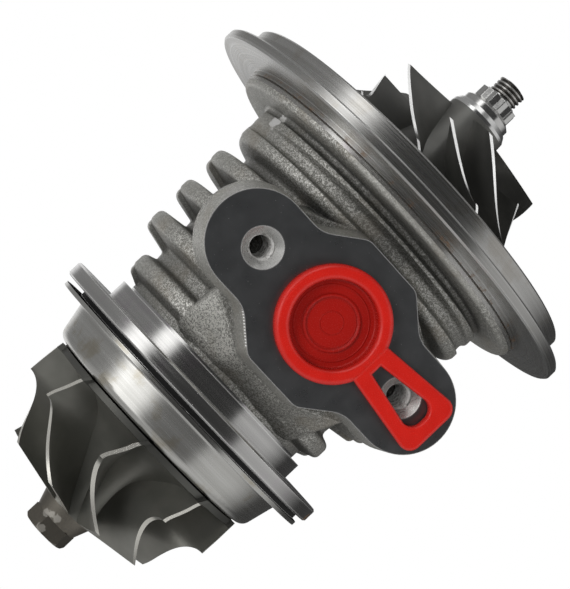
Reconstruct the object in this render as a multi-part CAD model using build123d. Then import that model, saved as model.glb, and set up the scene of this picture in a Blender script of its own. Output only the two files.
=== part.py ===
from build123d import *
import math
import os

# Turbo cartridge, in millimetres. X runs along the shaft towards the compressor and Z is up as installed:
# oil comes in at the top and drains at the bottom. X = 0 is the face of the back plate's rim that seats
# against the compressor cover, and Y = Z = 0 is the shaft axis. A turned section is drawn as (x, radius).

# Back plate
plate_rim_radius = 47.7
plate_rim_thickness = 2.2
register_radius = 43.3
register_height = 4.3
plate_boss_radius = 38.6
plate_boss_height = 1.0
wheel_pocket_depth = 2.1
pilot_radius = 17.5
pilot_length = 3.8
pilot_wall = 6.0
plate_hub_depth = 4.2
plate_screw_count = 4
plate_screw_circle = 22.2
plate_screw_radius = 2.5
plate_screw_head_radius = 4.4
plate_screw_length = 15.0
plate_screw_socket = 1.8
plate_screw_socket_depth = 1.6
seal_cord = 1.6
seal_groove_width = 1.76
edge_break = 0.35
recess_clearance = 0.1

# Centre housing: castings and machined ends
housing_length = 54.3
flange_radius = 38.3
flange_thickness = 2.3
flange_rounding = 1.2
shoulder_radius = 31.5
shoulder_length = 9.2
shoulder_rounding = 2.0
shoulder_groove_depth = 2.5
shoulder_groove_width = 2.2
shoulder_groove_offset = 3.7
cove_width = 1.2
turbine_flange_radius = 34.6
turbine_flange_thickness = 3.15
neck_radius = 25.7
neck_length = 3.8
groove_radius = 23.6
groove_width = 2.6
core_radius_turbine = 24.0
core_radius_compressor = 26.8
fin_radii = (27.2, 31.5, 32.1, 32.2)
first_fin = 12.1
fin_pitch = 8.5
fin_root_width = 5.4
fin_crest_width = 3.3
fin_rounding = 1.4
fin_root_rounding = 0.9
cove_rounding = 0.9
mould_shift = 1.1
mould_step = 0.5

# Centre housing: drain tower and pad
drain_offset = 29.1
pad_drop = 40.0
pad_thickness = 8.0
pad_draft = 7.0
pad_half_width = 15.3
pad_corner = 6.5
pad_corner_rounding = 3.0
pad_waist = 13.6
pad_waist_rounding = 6.0
lobe_radius = 9.7
lobe_centre = 20.4
bolt_spacing = 38.0
tapped_radius = 2.5
tapped_depth = 14.0
tapped_chamfer = 1.4
drain_port_radius = 9.2
tower_foot_side = 16.5
tower_top_side = 17.5
tower_top_width = 10.6
tower_cheek = 1.4
tower_rounding = 2.2
tower_foot_depth = 20.0
lobe_boss_length = 20.0
lobe_boss_taper = 2.5

# Centre housing: oil inlet and oil ways
inlet_height = 35.0
inlet_boss_radius = 9.0
inlet_boss_flare = 3.0
inlet_thread_radius = 4.5
inlet_depth = 11.0
feed_radius = 1.5
gallery_height = 14.0
cavity_radius = 17.0
tube_radius = 10.8
web_angle = 70.0
web_setback = 5.0
drain_slot_width = 12.0
drain_slot_height = 5.0

# Bearings
tunnel_radius = 6.26
bearing_clearance = 0.06
bearing_length = 8.2
bearing_span = 27.0
turbine_bearing_offset = 10.1
journal_radius = 4.0
journal_clearance = 0.04
journal_relief = 0.3
journal_margin = 2.0
bearing_chamfer = 0.4
bearing_hole_radius = 0.8
bearing_hole_count = 6
circlip_thickness = 1.0
circlip_depth = 0.7
circlip_width = 1.6
circlip_play = 0.15
circlip_gap_angle = 50.0

# Thrust parts on the compressor side
thrust_plate_thickness = 3.0
thrust_gap = 0.08
thrust_washer_thickness = 1.4
thrust_rim_radius = 7.5
washer_room = 0.7
thrust_sleeve_radius = 4.6
thrust_bore_clearance = 0.15
thrust_rim_thickness = 1.6
thrust_pin_radius = 1.25
thrust_pin_length = 7.0
thrust_pin_circle = 13.6
thrust_notch_width = 10.0
thrust_notch_depth = 4.5
thrust_pad_count = 3
thrust_groove_width = 1.2
thrust_groove_depth = 0.4
thrust_bridge = 5.4
deflector_thickness = 0.8
deflector_clearance = 0.7
deflector_lip_width = 12.0
deflector_lip_depth = 0.8
flinger_radius = 9.4
flinger_thickness = 1.5
seal_sleeve_radius = 6.0
seal_bore_radius = 6.25
compressor_ring_width = 1.2
compressor_ring_depth = 1.1
ring_play = 0.1
ring_gap_angle = 4.0
stub_radius = 2.9
stub_clearance = 0.04

# Heat shield
shield_rim_radius = 33.5
shield_rim_gap = 1.3
shield_height = 8.6
shield_sheet = 0.8
shield_drum_radius = 28.4
shield_face_radius = 26.6
shield_bend = 2.2
shield_hole_radius = 10.2
shield_spigot_length = 0.7
shield_spigot_clearance = 0.2
nose_radius = 19.0

# Turbine wheel
turbine_gap = 0.4
turbine_blade_count = 9
turbine_tip_radius = 25.7
turbine_tip_width = 8.5
turbine_exducer_radius = 19.1
turbine_length = 19.65
turbine_exit_slope = 2.8
turbine_disc_radius = 24.3
turbine_disc_thickness = 1.3
turbine_hub_radius = 6.2
turbine_collar_radius = 5.0
turbine_collar_length = 3.3
turbine_hex_corner_radius = 5.3
turbine_hex_length = 3.4
turbine_hex_chamfer = 0.6
turbine_blade_tip = 0.75
turbine_blade_root = 2.0
turbine_inlet_lean = 9.3
turbine_exit_turn = 29.5
turbine_turn_power = 2.0
turbine_azimuth = 211.1
turbine_boss_radius = 8.35
turbine_boss_length = 9.8
turbine_bore_clearance = 0.25
turbine_ring_width = 1.5
turbine_ring_depth = 1.3
weld_length = 1.6
weld_radius = 7.0

# Compressor wheel
wheel_gap = 0.8
wheel_pocket_clearance = 1.0
wheel_radius = 27.0
wheel_disc_thickness = 1.2
wheel_exit_width = 4.2
wheel_inlet_radius = 20.15
wheel_inlet_length = 3.5
wheel_blade_length = 17.7
wheel_leading_slope = 2.4
wheel_hub_radius = 7.0
wheel_hub_length = 23.0
wheel_nose_radius = 6.2
wheel_nose_chamfer = 1.1
wheel_blade_count = 5
splitter_setback = 4.0
wheel_blade_tip = 0.65
wheel_blade_root = 1.7
wheel_wrap_rate = 4.2
wheel_back_wrap_rate = 1.9
wheel_azimuth = 195.6

# Shaft nut
nut_flange_radius = 5.75
nut_flange_thickness = 1.4
nut_cone_height = 0.8
nut_corner_radius = 4.7
nut_height = 3.5
thread_length = 4.2

# Drain cap
cap_lip_radius = 11.05
cap_lip_thickness = 2.4
cap_recess_radius = 8.2
cap_recess_depth = 3.2
cap_floor = 1.5
cap_skirt_length = 7.5
cap_skirt_clearance = 0.05
cap_wall = 1.1
cap_wall_draft = 0.2
cap_rounding = 1.1
cap_ring_radius = 5.4
cap_ring_width = 0.5
cap_ring_height = 0.3
tab_root_width = 8.6
tab_end_width = 13.0
tab_length = 27.6
tab_bar = 3.0
tab_arm = 3.2
tab_thickness = 2.2
tab_lift = 0.4
tab_rounding = 2.4
tab_edge_rounding = 0.6

# Stations along X
plate_back = -(plate_rim_thickness + plate_boss_height)
pocket_floor = register_height - wheel_pocket_depth
pilot_end = plate_back - pilot_length
flange_back = plate_back - flange_thickness
turbine_face = plate_back - housing_length
turbine_flange_back = turbine_face + turbine_flange_thickness
neck_end = turbine_flange_back + neck_length
fin_start = neck_end + groove_width
shoulder_start = flange_back - shoulder_length
drain_x = turbine_face + drain_offset
deflector_back = pilot_end - deflector_thickness
thrust_seat = deflector_back - thrust_plate_thickness
shield_rim_x = turbine_face - shield_rim_gap
shield_face_x = shield_rim_x - shield_height
nose_end = shield_face_x + shield_sheet
spigot_end = nose_end - shield_spigot_length
turbine_back = shield_face_x - turbine_gap
turbine_bearing_x = turbine_face + turbine_bearing_offset
compressor_bearing_x = turbine_bearing_x + bearing_span
shaft_shoulder = thrust_seat - thrust_gap - thrust_washer_thickness
collar_start = thrust_seat - thrust_gap
collar_rim_x = deflector_back + thrust_gap
flinger_start = collar_rim_x + thrust_rim_thickness
wheel_back = pocket_floor + wheel_gap
wheel_nose_x = wheel_back + wheel_hub_length
boss_end = turbine_back + turbine_boss_length
journal_start = boss_end + weld_length
nut_end = wheel_nose_x + nut_flange_thickness + nut_height
cavity_start = journal_start
cavity_end = thrust_seat - thrust_bridge
recess_radius = pilot_radius + recess_clearance
screw_tip_x = pocket_floor - plate_screw_length


def turned(*section):
    # A solid turned about the shaft axis from a closed half-section of (x, radius) corners
    return revolve(make_face(Polyline(*section, close=True)), Axis.X)


def ring(x_start, x_end, inner, outer):
    # A plain ring about the shaft axis
    return turned((x_start, inner), (x_end, inner), (x_end, outer), (x_start, outer))


def bar(x_start, x_end, radius):
    # A plain round bar on the shaft axis
    length = x_end - x_start
    return Location((x_start + length / 2, 0, 0), (0, 90, 0)) * Cylinder(radius, length)


def upright(x, y, z_low, z_high, radius):
    # A round bar that stands along Z
    return Pos(x, y, (z_low + z_high) / 2) * Cylinder(radius, z_high - z_low)


def about_shaft(solid, angle):
    return Rot(angle, 0, 0) * solid


def corners_at(sketch, x_test):
    # The corners of a sketch whose (x, y) passes a test
    return [v for v in sketch.vertices() if x_test(v.X, v.Y)]


def is_near(a, b):
    return abs(a - b) < 0.01


def core_radius(x):
    # The casting's barrel widens evenly from the groove to the shoulder
    share = (x - fin_start) / (shoulder_start - fin_start)
    return core_radius_turbine + share * (core_radius_compressor - core_radius_turbine)


def machined_section():
    # Half-section of the turned turbine end, from its flange to the groove behind the neck
    flange = Polyline(
        (turbine_face, 0),
        (turbine_face, turbine_flange_radius),
        (turbine_flange_back, turbine_flange_radius),
        (turbine_flange_back, neck_radius),
        (neck_end, neck_radius),
        (neck_end, groove_radius),
        (fin_start, groove_radius),
        (fin_start, 0),
        close=True,
    )
    section = make_face(flange)
    rim = corners_at(section, lambda x, y: is_near(y, turbine_flange_radius))
    return chamfer(rim, edge_break)


def fin_outline(index, shift, step):
    # Half-section of one fin with drafted sides
    centre = turbine_face + first_fin + index * fin_pitch - shift
    foot_radius = core_radius_turbine - 1
    crest_radius = fin_radii[index] - step
    return make_face(
        Polyline(
            (centre - fin_root_width / 2 - 0.5, foot_radius),
            (centre - fin_crest_width / 2, crest_radius),
            (centre + fin_crest_width / 2, crest_radius),
            (centre + fin_root_width / 2 + 0.5, foot_radius),
            close=True,
        )
    )


def shoulder_outline(step):
    # Half-section of the shoulder band and the flange for the back plate
    radius = shoulder_radius - step
    return make_face(
        Polyline(
            (shoulder_start - 1.0, 0),
            (shoulder_start - 1.0, core_radius_compressor - 1),
            (shoulder_start + 0.6, radius),
            (flange_back, radius),
            (flange_back, flange_radius),
            (plate_back, flange_radius),
            (plate_back, 0),
            close=True,
        )
    )


def cast_section(shift, step):
    # Half-section of the sand-cast barrel, with rounded fins, U-shaped valleys and the shoulder
    core = make_face(
        Polyline(
            (fin_start, 0),
            (fin_start, core_radius(fin_start)),
            (shoulder_start, core_radius(shoulder_start)),
            (shoulder_start, 0),
            close=True,
        )
    )
    section = core + shoulder_outline(step)
    for index in range(len(fin_radii)):
        section += fin_outline(index, shift, step)
    section = section.face()
    crests = [r - step for r in fin_radii]
    tips = corners_at(section, lambda x, y: x < shoulder_start and any(is_near(y, r) for r in crests))
    section = fillet(tips, fin_rounding)
    barrel_start = fin_start + 0.01
    barrel_end = shoulder_start + 0.3
    roots = corners_at(section, lambda x, y: barrel_start < x < barrel_end and is_near(y, core_radius(x)))
    section = fillet(roots, fin_root_rounding)
    brow_radius = shoulder_radius - step
    brow = corners_at(section, lambda x, y: shoulder_start < x < flange_back - 1 and is_near(y, brow_radius))
    section = fillet(brow, shoulder_rounding)
    cove = corners_at(section, lambda x, y: is_near(x, flange_back) and y < flange_radius - 1)
    section = fillet(cove, cove_rounding)
    rim = corners_at(section, lambda x, y: is_near(x, flange_back) and is_near(y, flange_radius))
    section = fillet(rim, flange_rounding)
    face_rim = corners_at(section, lambda x, y: is_near(x, plate_back) and is_near(y, flange_radius))
    return chamfer(face_rim, edge_break)


def shoulder_groove(centre, width, flare_behind, flare_ahead):
    # A rounded groove turned about an axis above the shaft's, so it is deepest at the bottom of the shoulder
    # and runs out at the parting line
    floor = shoulder_radius
    top = floor + shoulder_groove_depth + 1
    cutter = make_face(
        Polyline(
            (centre - width / 2 - flare_behind, top),
            (centre - width / 2, floor),
            (centre + width / 2, floor),
            (centre + width / 2 + flare_ahead, top),
            close=True,
        )
    )
    cutter = fillet(corners_at(cutter, lambda x, y: is_near(y, floor)), width * 0.45)
    return Pos(0, 0, shoulder_groove_depth) * revolve(cutter, Axis.X, -180)


def shoulder_grooves():
    # A wide groove that parts the shoulder into two ridges, and a cove beside the flange
    flare = shoulder_groove_depth * 0.55
    groove_x = shoulder_start + 0.6 + shoulder_groove_offset
    wide = shoulder_groove(groove_x, shoulder_groove_width, flare, flare)
    cove = shoulder_groove(flange_back - cove_width / 2, cove_width, flare, 0)
    return [wide, cove]


def housing_barrel():
    # The upper mould half stands a little lower and nearer the turbine than the lower half
    barrel = revolve(cast_section(mould_shift, mould_step), Axis.X, 180)
    barrel += revolve(cast_section(0, 0), Axis.X, -180)
    for cutter in shoulder_grooves():
        barrel -= cutter
    return barrel + revolve(machined_section(), Axis.X)


def pad_outline():
    # Oil drain flange: two round lobes and a wider waist, with flowing corners
    lobes = SlotCenterToCenter(2 * lobe_centre, 2 * lobe_radius, rotation=90)
    run_in = lobe_radius - 2
    reach = pad_waist + 2 * (pad_waist - pad_corner) / (pad_half_width - lobe_radius)
    waist = Polygon(
        (pad_half_width, -pad_corner),
        (pad_half_width, pad_corner),
        (run_in, reach),
        (-run_in, reach),
        (-pad_half_width, pad_corner),
        (-pad_half_width, -pad_corner),
        (-run_in, -reach),
        (run_in, -reach),
        align=None,
    )
    outline = lobes + waist
    outer = corners_at(outline, lambda x, y: abs(x) > pad_half_width - 0.01)
    outline = fillet(outer, pad_corner_rounding)
    inner = corners_at(outline, lambda x, y: abs(abs(x) - lobe_radius) < 0.05 and abs(y) < lobe_centre - 0.5)
    return fillet(inner, pad_waist_rounding)


def tower_outline(half_width, end_half_width, side):
    # The tower's plan at one height: straight cheeks beside the pad's waist, narrower towards its lobes
    plan = Polygon(
        (half_width, -pad_corner),
        (half_width, pad_corner),
        (end_half_width, side),
        (-end_half_width, side),
        (-half_width, pad_corner),
        (-half_width, -pad_corner),
        (-end_half_width, -side),
        (end_half_width, -side),
        align=None,
    )
    return fillet(plan.vertices(), tower_rounding)


def drain_tower():
    # The pad, the tapered bosses behind its lobes, and the drafted tower that carries it on the barrel
    outline = pad_outline()
    pad = extrude(Pos(drain_x, 0, -pad_drop) * outline, pad_thickness, taper=-pad_draft)
    pad_back = -pad_drop + pad_thickness
    boss_radius = lobe_radius - pad_thickness * math.tan(math.radians(-pad_draft)) - 1.5
    for side in (-1, 1):
        boss = Cone(boss_radius, boss_radius - lobe_boss_taper, lobe_boss_length)
        pad += Pos(drain_x, side * (lobe_centre - 1), pad_back + lobe_boss_length / 2) * boss
    foot_start = neck_end + 0.2
    foot_end = shoulder_start + 1
    half_foot = (foot_end - foot_start) / 2
    pad_back_half = pad_half_width - pad_thickness * math.tan(math.radians(-pad_draft))
    foot = tower_outline(half_foot, half_foot - tower_cheek, tower_foot_side)
    top = tower_outline(pad_back_half, tower_top_width, tower_top_side)
    tower = loft(
        [
            Pos((foot_start + foot_end) / 2, 0, -tower_foot_depth) * foot,
            Pos(drain_x, 0, pad_back) * top,
        ]
    )
    return pad + tower


def inlet_boss():
    # Oil inlet on the top of the housing
    foot = core_radius_turbine - 4
    height = inlet_height - foot
    flare = Cone(inlet_boss_radius + inlet_boss_flare, inlet_boss_radius, height * 0.7)
    boss = upright(drain_x, 0, foot, inlet_height, inlet_boss_radius)
    return boss + Pos(drain_x, 0, foot + height * 0.35) * flare


def inlet_clearing():
    # The spot face's sweep above the inlet boss, which also clears any fin that stands higher than the boss
    return upright(drain_x, 0, inlet_height, inlet_height + shoulder_radius, inlet_boss_radius)


def tapped_hole(radius, depth, countersink):
    # A tapped hole's bore, with its mouth at Z = 0 and its depth along +Z
    bore = Pos(0, 0, depth / 2) * Cylinder(radius, depth)
    point = Pos(0, 0, depth + radius * 0.3) * Cone(radius, 0.05, radius * 0.6)
    mouth = Pos(0, 0, countersink / 2) * Cone(radius + countersink, radius, countersink)
    return bore + point + mouth


def oil_cavity():
    # The drain space round the bearing tube, with a web left at the top to carry the tube and its oil feed
    space = ring(cavity_start, cavity_end, tube_radius, cavity_radius)
    web_start = cavity_start + web_setback
    web_end = cavity_end + 1
    web_face = make_face(
        Polyline(
            (web_start, tube_radius - 1),
            (web_end, tube_radius - 1),
            (web_end, cavity_radius + 1),
            (web_start, cavity_radius + 1),
            close=True,
        )
    )
    space -= about_shaft(revolve(web_face, Axis.X, web_angle), 90 - web_angle / 2)
    chamber = bar(boss_end - 1.5, cavity_start + 2.5, cavity_radius - 3)
    slot_length = plate_back - cavity_end - 2 * pilot_length + 4
    slot_place = Pos((cavity_end + plate_back) / 2, 0, -(tube_radius + cavity_radius) / 2)
    return space + chamber + slot_place * Box(slot_length, drain_slot_width, drain_slot_height)


def circlip_stations():
    # Where the four circlips start: one at each end of each floating bush
    half = bearing_length / 2 + circlip_play
    return [
        turbine_bearing_x - half - circlip_thickness,
        turbine_bearing_x + half,
        compressor_bearing_x - half - circlip_thickness,
        compressor_bearing_x + half,
    ]


def housing_bores():
    bores = bar(turbine_back, boss_end, turbine_boss_radius + turbine_bore_clearance)
    bores += bar(journal_start, thrust_seat, tunnel_radius)
    bores += bar(shaft_shoulder - washer_room, thrust_seat + 1, thrust_rim_radius + washer_room)
    bores += bar(thrust_seat, plate_back + 1, recess_radius)
    for start in circlip_stations():
        bores += bar(start, start + circlip_thickness, tunnel_radius + circlip_depth)
    return bores


def oil_feeds():
    # Drillings from the inlet down to the gallery and on to each floating bush
    feed = upright(drain_x, 0, gallery_height, inlet_height - inlet_depth + 1, feed_radius)
    gallery = bar(turbine_bearing_x - feed_radius, compressor_bearing_x + feed_radius, feed_radius)
    feed += Pos(0, 0, gallery_height) * gallery
    for x in (turbine_bearing_x, compressor_bearing_x):
        feed += upright(x, 0, tunnel_radius - 1, gallery_height, feed_radius)
    return feed


def thrust_pin_places():
    return [Pos(0, side * thrust_pin_circle, 0) for side in (-1, 1)]


def thrust_pins():
    pin = bar(deflector_back - thrust_pin_length, deflector_back, thrust_pin_radius)
    return [place * pin for place in thrust_pin_places()]


def screw_angles():
    return [45 + index * 360 / plate_screw_count for index in range(plate_screw_count)]


def screw_solid():
    # A countersunk screw along X, its head flush with the floor of the wheel pocket
    head_height = plate_screw_head_radius - plate_screw_radius
    return turned(
        (pocket_floor, 0),
        (pocket_floor, plate_screw_head_radius),
        (pocket_floor - head_height, plate_screw_radius),
        (screw_tip_x, plate_screw_radius),
        (screw_tip_x, 0),
    )


def plate_screws():
    socket = extrude(RegularPolygon(plate_screw_socket, 6), -plate_screw_socket_depth)
    screw = screw_solid() - Location((pocket_floor, 0, 0), (0, 90, 0)) * socket
    return [about_shaft(Pos(0, plate_screw_circle, 0) * screw, angle) for angle in screw_angles()]


def screw_holes():
    # Each hole runs on past its screw's tip, and its countersink takes the head
    hole = bar(screw_tip_x - 1, pocket_floor + 0.01, plate_screw_radius) + screw_solid()
    return [about_shaft(Pos(0, plate_screw_circle, 0) * hole, angle) for angle in screw_angles()]


def centre_housing():
    body = housing_barrel() - inlet_clearing() + drain_tower() + inlet_boss()
    body += bar(nose_end, turbine_face, nose_radius)
    body += bar(spigot_end, nose_end, shield_hole_radius - shield_spigot_clearance)
    body -= oil_cavity()
    body -= housing_bores()
    body -= oil_feeds()
    body -= upright(drain_x, 0, -pad_drop - 1, -(tube_radius + cavity_radius) / 2, drain_port_radius)
    for side in (-1, 1):
        hole = tapped_hole(tapped_radius, tapped_depth, tapped_chamfer)
        body -= Pos(drain_x, side * bolt_spacing / 2, -pad_drop) * hole
    inlet = Rot(180, 0, 0) * tapped_hole(inlet_thread_radius, inlet_depth, tapped_chamfer)
    body -= Pos(drain_x, 0, inlet_height) * inlet
    for hole in screw_holes():
        body -= hole
    for pin in thrust_pins():
        body -= pin
    return body


def back_plate():
    # Stepped disc: rim and register for the cover, wheel pocket, seal bore, and pilot with its seal groove
    chamber_radius = pilot_radius - pilot_wall
    hub_back = pocket_floor - plate_hub_depth
    section = make_face(
        Polyline(
            (pocket_floor, seal_bore_radius),
            (pocket_floor, wheel_radius + wheel_pocket_clearance),
            (register_height, wheel_radius + wheel_pocket_clearance),
            (register_height, register_radius),
            (0, register_radius),
            (0, plate_rim_radius),
            (-plate_rim_thickness, plate_rim_radius),
            (-plate_rim_thickness, plate_boss_radius),
            (plate_back, plate_boss_radius),
            (plate_back, pilot_radius),
            (pilot_end, pilot_radius),
            (pilot_end, chamber_radius),
            (hub_back, chamber_radius),
            (hub_back, seal_bore_radius),
            close=True,
        )
    )
    section = chamfer(corners_at(section, lambda x, y: is_near(y, plate_rim_radius)), edge_break)
    register_rim = corners_at(section, lambda x, y: x > 1 and is_near(y, register_radius))
    plate = revolve(chamfer(register_rim, edge_break), Axis.X)
    groove_x = (plate_back + pilot_end) / 2
    groove_half = seal_groove_width / 2
    plate -= ring(groove_x - groove_half, groove_x + groove_half, recess_radius - seal_cord, pilot_radius + 1)
    for hole in screw_holes():
        plate -= hole
    return plate


def back_plate_seal():
    section = Pos((plate_back + pilot_end) / 2, recess_radius - seal_cord / 2) * Circle(seal_cord / 2)
    return revolve(section, Axis.X)


def heat_shield():
    # Pressed sheet cup: flat rim, tapered drum, rounded edge and a front face with a hole for the rotor
    rim_top = shield_rim_x - shield_sheet
    outer = make_face(
        Polyline(
            (shield_rim_x, shield_rim_radius),
            (rim_top, shield_rim_radius),
            (rim_top, shield_drum_radius),
            (shield_face_x, shield_face_radius),
            (shield_face_x, shield_hole_radius),
            (nose_end, shield_hole_radius),
            (nose_end, shield_face_radius - shield_sheet),
            (shield_rim_x, shield_drum_radius - shield_sheet),
            close=True,
        )
    )
    edge = corners_at(outer, lambda x, y: is_near(x, shield_face_x) and y > shield_hole_radius + 1)
    outer = fillet(edge, shield_bend)
    bend = corners_at(outer, lambda x, y: is_near(x, nose_end) and y > shield_hole_radius + 1)
    outer = fillet(bend, shield_bend - shield_sheet)
    foot = corners_at(outer, lambda x, y: is_near(x, rim_top) and y < shield_rim_radius - 1)
    outer = fillet(foot, shield_sheet)
    return revolve(outer, Axis.X)


def split_ring(x_start, x_end, inner, outer, gap_angle, at_angle):
    # A spring ring with a gap, which faces the given angle
    face = make_face(Polyline((x_start, inner), (x_end, inner), (x_end, outer), (x_start, outer), close=True))
    return about_shaft(revolve(face, Axis.X, 360 - gap_angle), at_angle + gap_angle / 2)


def turbine_seal_ring():
    bore = turbine_boss_radius + turbine_bore_clearance
    centre = turbine_ring_centre()
    half = turbine_ring_width / 2
    return split_ring(centre - half, centre + half, bore - turbine_ring_depth, bore, ring_gap_angle, 90)


def turbine_ring_centre():
    return (turbine_back + boss_end) / 2


def compressor_ring_centre():
    return pocket_floor - plate_hub_depth / 2


def compressor_seal_ring():
    centre = compressor_ring_centre()
    half = compressor_ring_width / 2
    inner = seal_bore_radius - compressor_ring_depth
    return split_ring(centre - half, centre + half, inner, seal_bore_radius, ring_gap_angle, 90)


def circlip_pair(starts):
    # Both rings have their gap at the bottom
    outer = tunnel_radius + circlip_depth
    inner = outer - circlip_width
    return [split_ring(x, x + circlip_thickness, inner, outer, circlip_gap_angle, 270) for x in starts]


def journal_bearing(centre):
    # A floating bush with oil holes, a running fit on the journal and in the tunnel
    half = bearing_length / 2
    outer = tunnel_radius - bearing_clearance
    bush = ring(centre - half, centre + half, journal_radius + journal_clearance, outer)
    bush = chamfer(bush.edges().filter_by(GeomType.CIRCLE).group_by(SortBy.RADIUS)[-1], bearing_chamfer)
    hole = upright(centre, 0, 0, tunnel_radius + 1, bearing_hole_radius)
    for index in range(bearing_hole_count):
        bush -= about_shaft(hole, index * 360 / bearing_hole_count)
    return bush


def thrust_bearing():
    # Bronze disc with a bore for the collar's sleeve, pin holes, oil grooves and a drain notch
    outer = recess_radius - 3 * recess_clearance
    bore = thrust_sleeve_radius + thrust_bore_clearance
    disc = ring(thrust_seat, deflector_back, bore, outer)
    notch = Box(thrust_plate_thickness + 1, thrust_notch_width, 2 * thrust_notch_depth)
    disc -= Pos((thrust_seat + deflector_back) / 2, 0, -outer) * notch
    for pin in thrust_pins():
        disc -= pin
    groove = Box(2 * thrust_groove_depth, thrust_groove_width, thrust_rim_radius - bore + 1)
    groove = Pos(deflector_back, 0, (bore + thrust_rim_radius) / 2) * groove
    for pad in range(thrust_pad_count):
        disc -= about_shaft(groove, 30 + pad * 360 / thrust_pad_count)
    return disc


def oil_deflector():
    # Sheet baffle held between the thrust bearing and the back plate, cut straight where the oil drips off
    outer = recess_radius - 3 * recess_clearance
    hole = thrust_rim_radius + deflector_clearance
    sheet = ring(deflector_back, pilot_end, hole, outer)
    notch = Box(3 * deflector_thickness, deflector_lip_width, 2 * deflector_lip_depth)
    return sheet - Pos((deflector_back + pilot_end) / 2, 0, -outer) * notch


def shaft():
    # Welded end, journals with a relieved middle, and the stub that clamps the compressor-side pieces
    relief_start = turbine_bearing_x + bearing_length / 2 + journal_margin
    relief_end = compressor_bearing_x - bearing_length / 2 - journal_margin
    relief = journal_radius - journal_relief
    solid = turned(
        (boss_end, 0),
        (boss_end, weld_radius),
        (journal_start - 0.4, weld_radius),
        (journal_start + 0.6, journal_radius),
        (relief_start, journal_radius),
        (relief_start + 1, relief),
        (relief_end - 1, relief),
        (relief_end, journal_radius),
        (shaft_shoulder, journal_radius),
        (shaft_shoulder, stub_radius),
        (nut_end + thread_length - 0.6, stub_radius),
        (nut_end + thread_length, stub_radius - 0.6),
        (nut_end + thread_length, 0),
    )
    return solid


def sleeve_bore(x_start, x_end):
    return bar(x_start - 1, x_end + 1, stub_radius + stub_clearance)


def thrust_washer():
    washer = bar(shaft_shoulder, collar_start, thrust_rim_radius)
    return washer - sleeve_bore(shaft_shoulder, collar_start)


def thrust_collar():
    collar = bar(collar_start, collar_rim_x, thrust_sleeve_radius)
    collar += bar(collar_rim_x, flinger_start, thrust_rim_radius)
    return collar - sleeve_bore(collar_start, flinger_start)


def oil_flinger():
    centre = compressor_ring_centre()
    groove_half = compressor_ring_width / 2 + ring_play
    sleeve = bar(flinger_start, wheel_back, seal_sleeve_radius)
    disc = turned(
        (flinger_start, 0),
        (flinger_start, flinger_radius - 1.2),
        (flinger_start + flinger_thickness * 0.5, flinger_radius),
        (flinger_start + flinger_thickness, flinger_radius),
        (flinger_start + flinger_thickness, 0),
    )
    groove_floor = seal_bore_radius - compressor_ring_depth - ring_play
    groove = ring(centre - groove_half, centre + groove_half, groove_floor, seal_sleeve_radius + 1)
    return sleeve + disc - groove - sleeve_bore(flinger_start, wheel_back)


def blade_blank(x_start, x_end, turn_at, inner, outer, root, tip, stations):
    # A tapered web of radial straight lines that twists about the shaft as it runs along X
    sections = []
    for step in range(stations):
        x = x_start + (x_end - x_start) * step / (stations - 1)
        angle = math.radians(turn_at(x))
        plane = Plane((x, 0, 0), x_dir=(0, math.cos(angle), math.sin(angle)), z_dir=(1, 0, 0))
        web = Polygon((inner, -root / 2), (outer, -tip / 2), (outer, tip / 2), (inner, root / 2), align=None)
        sections.append(plane * web)
    return loft(sections)


def turbine_turn(x):
    # Blade angle about the shaft: a straight lean in the inducer, and a growing turn in the exducer
    inducer_end = turbine_back - turbine_tip_width
    if x > inducer_end:
        return turbine_inlet_lean * (x - inducer_end) / turbine_tip_width
    depth = (inducer_end - x) / (turbine_length - turbine_tip_width)
    return turbine_exit_turn * depth**turbine_turn_power


def turbine_blade():
    inducer_end = turbine_back - turbine_tip_width
    exit_x = turbine_back - turbine_length
    hub_exit_x = exit_x - turbine_exit_slope
    inner = turbine_collar_radius - 1
    blank = blade_blank(
        turbine_back + 1,
        hub_exit_x - 1,
        turbine_turn,
        inner - 0.5,
        turbine_tip_radius + 2,
        turbine_blade_root,
        turbine_blade_tip,
        12,
    )
    shroud = EllipticalCenterArc(
        (exit_x, turbine_tip_radius),
        turbine_length - turbine_tip_width,
        turbine_tip_radius - turbine_exducer_radius,
        start_angle=0,
        arc_size=-90,
    )
    rest = Polyline(
        (exit_x, turbine_exducer_radius),
        (hub_exit_x, turbine_hub_radius),
        (hub_exit_x, inner),
        (turbine_back, inner),
        (turbine_back, turbine_tip_radius - 0.35),
        (inducer_end, turbine_tip_radius),
    )
    return blank & revolve(make_face([shroud] + rest.edges()), Axis.X)


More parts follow.
